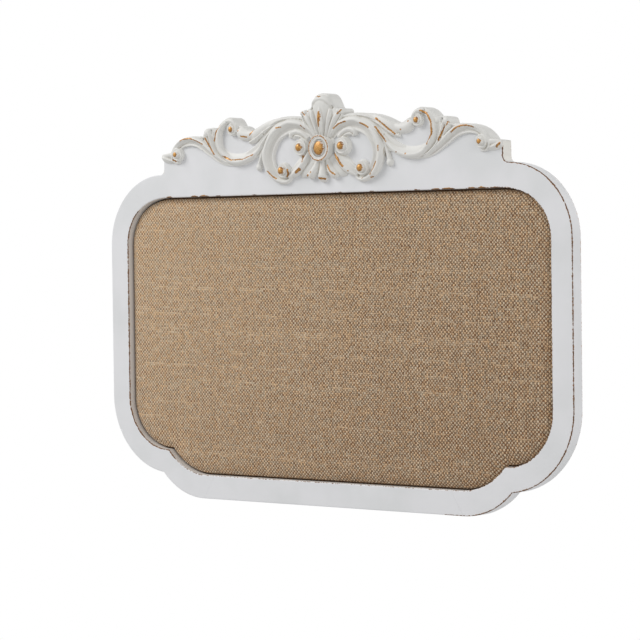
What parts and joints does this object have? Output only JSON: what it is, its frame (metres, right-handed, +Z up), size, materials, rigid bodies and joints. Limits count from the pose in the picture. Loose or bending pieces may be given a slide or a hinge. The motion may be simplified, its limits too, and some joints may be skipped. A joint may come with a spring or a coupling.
{
  "type": "pin board",
  "caption": "Wall-hung pin board: a padded burlap panel in a painted wooden frame with a scalloped outline and a cast scroll crest, hung on ring hangers.",
  "frame": {"origin": "on the wall surface, on the board's centre line, at the height where the two wall hooks carry the hanger rings", "axes": "+Z up, +X to the viewer's right, +Y into the wall, so the board's front looks along -Y"},
  "size_m": [0.6096, 0.0304, 0.4242],
  "materials": {
    "painted_wood": "cool off-white satin paint, rubbed through to brown on the arrises",
    "painted_resin": "off-white paint rubbed through to an antique gold-brown on the ridges",
    "beech": "bare fluted dowel",
    "burlap": "plain-woven natural jute, unbleached",
    "wadding": "soft white polyester wadding",
    "cork": "pressed granulated cork",
    "hardboard": "smooth brown tempered hardboard",
    "zinc_steel": "bright zinc plated",
    "screw_steel": "zinc plated with a faint yellow pass",
    "bumper_rubber": "matte black rubber"
  },
  "bodies": {
    "board": {"top_rail": "painted_wood", "bottom_rail": "painted_wood", "left_stile": "painted_wood", "right_stile": "painted_wood", "dowel_top_left_inner": "beech", "dowel_top_left_outer": "beech", "dowel_top_right_inner": "beech", "dowel_top_right_outer": "beech", "dowel_bottom_left_lower": "beech", "dowel_bottom_left_upper": "beech", "dowel_bottom_right_lower": "beech", "dowel_bottom_right_upper": "beech", "crest_centre": "painted_resin", "crest_arm_left": "painted_resin", "crest_arm_right": "painted_resin", "burlap_cover": "burlap", "wadding": "wadding", "cork_board": "cork", "backing_board": "hardboard", "button_screw_top_left": "screw_steel", "button_screw_top_right": "screw_steel", "button_screw_side_right": "screw_steel", "button_screw_bottom_right": "screw_steel", "button_screw_bottom_left": "screw_steel", "button_screw_side_left": "screw_steel", "hanger_strap_left": "zinc_steel", "hanger_strap_right": "zinc_steel", "hanger_screw_left": "screw_steel", "hanger_screw_right": "screw_steel", "bumper_left": "bumper_rubber", "bumper_right": "bumper_rubber"},
    "turn_button_top_left": {"turn_button_top_left": "zinc_steel"},
    "turn_button_top_right": {"turn_button_top_right": "zinc_steel"},
    "turn_button_side_right": {"turn_button_side_right": "zinc_steel"},
    "turn_button_bottom_right": {"turn_button_bottom_right": "zinc_steel"},
    "turn_button_bottom_left": {"turn_button_bottom_left": "zinc_steel"},
    "turn_button_side_left": {"turn_button_side_left": "zinc_steel"},
    "hanger_ring_left": {"hanger_ring_left": "zinc_steel"},
    "hanger_ring_right": {"hanger_ring_right": "zinc_steel"}
  },
  "joints": [
    {"name": "turn_top_left", "type": "hinge", "parent": "board", "child": "turn_button_top_left", "pos_m": [-0.11, -0.0042, -0.0286], "axis": [0, 1, 0], "continuous": true},
    {"name": "turn_top_right", "type": "hinge", "parent": "board", "child": "turn_button_top_right", "pos_m": [0.11, -0.0042, -0.0286], "axis": [0, 1, 0], "continuous": true},
    {"name": "turn_side_right", "type": "hinge", "parent": "board", "child": "turn_button_side_right", "pos_m": [0.2938, -0.0042, -0.1798], "axis": [0, 1, 0], "continuous": true},
    {"name": "turn_bottom_right", "type": "hinge", "parent": "board", "child": "turn_button_bottom_right", "pos_m": [0.11, -0.0042, -0.3538], "axis": [0, 1, 0], "continuous": true},
    {"name": "turn_bottom_left", "type": "hinge", "parent": "board", "child": "turn_button_bottom_left", "pos_m": [-0.11, -0.0042, -0.3538], "axis": [0, 1, 0], "continuous": true},
    {"name": "turn_side_left", "type": "hinge", "parent": "board", "child": "turn_button_side_left", "pos_m": [-0.2938, -0.0042, -0.1798], "axis": [0, 1, 0], "continuous": true},
    {"name": "ring_swing_left", "type": "hinge", "parent": "board", "child": "hanger_ring_left", "pos_m": [-0.2032, -0.0027, -0.0148], "axis": [-1, 0, 0], "range_deg": [0, 170]},
    {"name": "ring_swing_right", "type": "hinge", "parent": "board", "child": "hanger_ring_right", "pos_m": [0.2032, -0.0027, -0.0148], "axis": [-1, 0, 0], "range_deg": [0, 170]}
  ]
}
